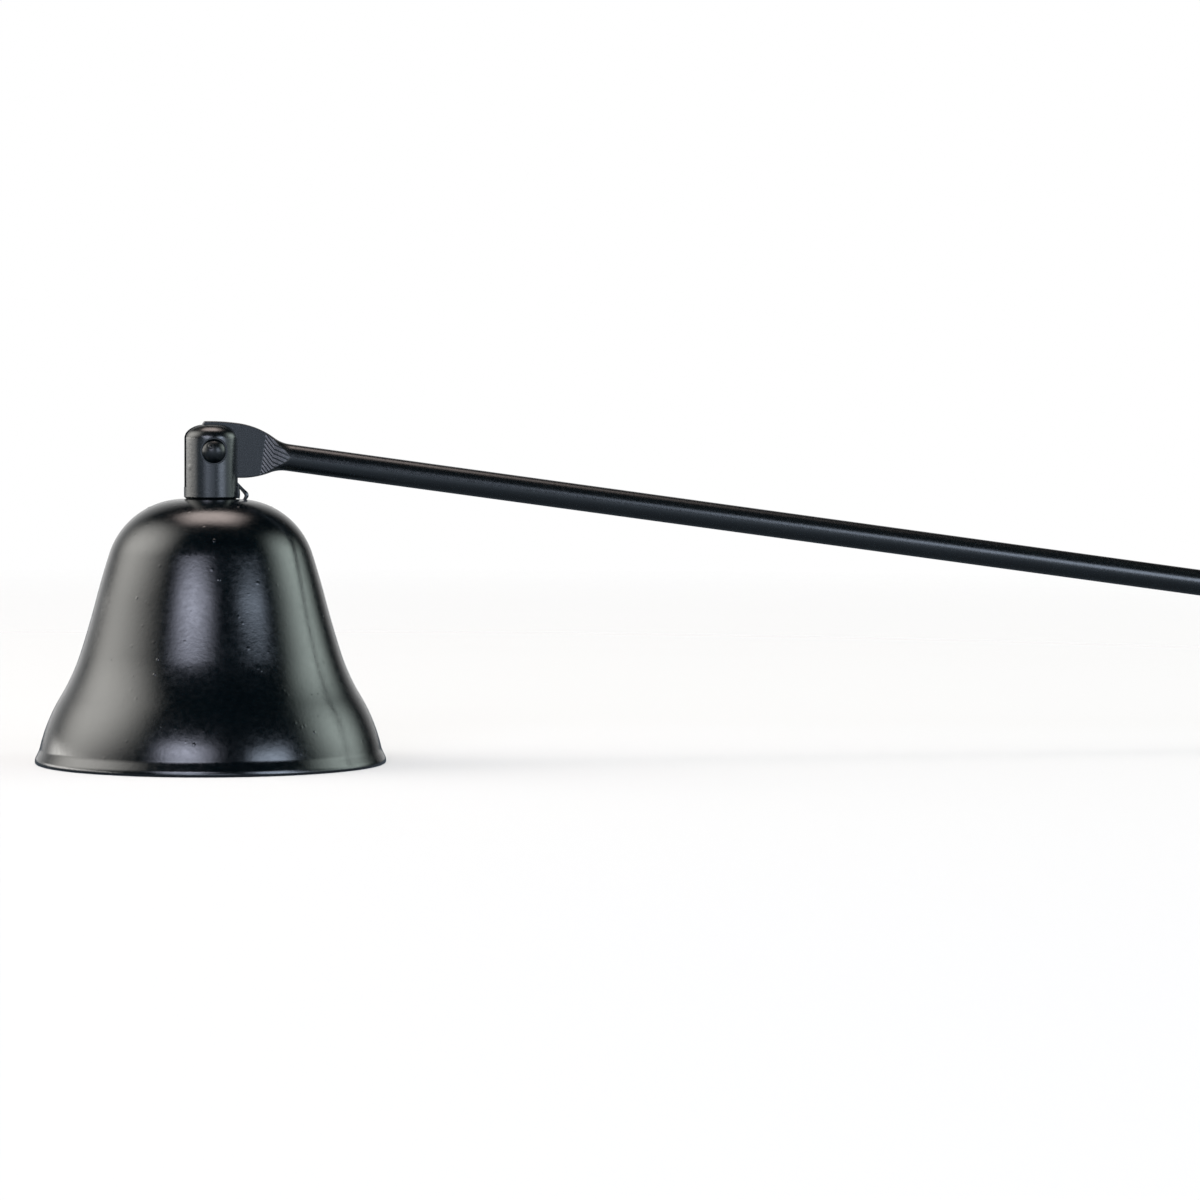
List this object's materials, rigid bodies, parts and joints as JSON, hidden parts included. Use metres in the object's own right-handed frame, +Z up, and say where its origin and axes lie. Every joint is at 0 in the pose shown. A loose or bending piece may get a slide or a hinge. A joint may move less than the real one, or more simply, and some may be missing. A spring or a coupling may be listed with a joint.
{
  "type": "candle snuffer",
  "caption": "Candle snuffer: a flared black metal bell that swings on a riveted slotted post at the end of a long slim rod handle.",
  "frame": {"origin": "centre of the bell's mouth, on the table that the rim of the bell stands on", "axes": "+Z up the axis of the bell, +X along the handle away from the bell, Y along the pivot rivet"},
  "size_m": [0.2863, 0.0412, 0.0403],
  "materials": {
    "bell_paint": "satin black paint",
    "post_paint": "satin black paint",
    "rivet_paint": "satin black paint",
    "handle_paint": "satin black paint",
    "fastener_paint": "satin black paint"
  },
  "bodies": {
    "bell_body": {"bell": "bell_paint", "post": "post_paint", "pivot_rivet": "rivet_paint", "lock_washer": "fastener_paint", "spigot_nut": "fastener_paint"},
    "handle_body": {"handle": "handle_paint"}
  },
  "joints": [
    {"name": "handle_pivot", "type": "hinge", "parent": "bell_body", "child": "handle_body", "pos_m": [0, 0, 0.03675], "axis": [0, -1, 0], "range_deg": [-15, 195]}
  ]
}
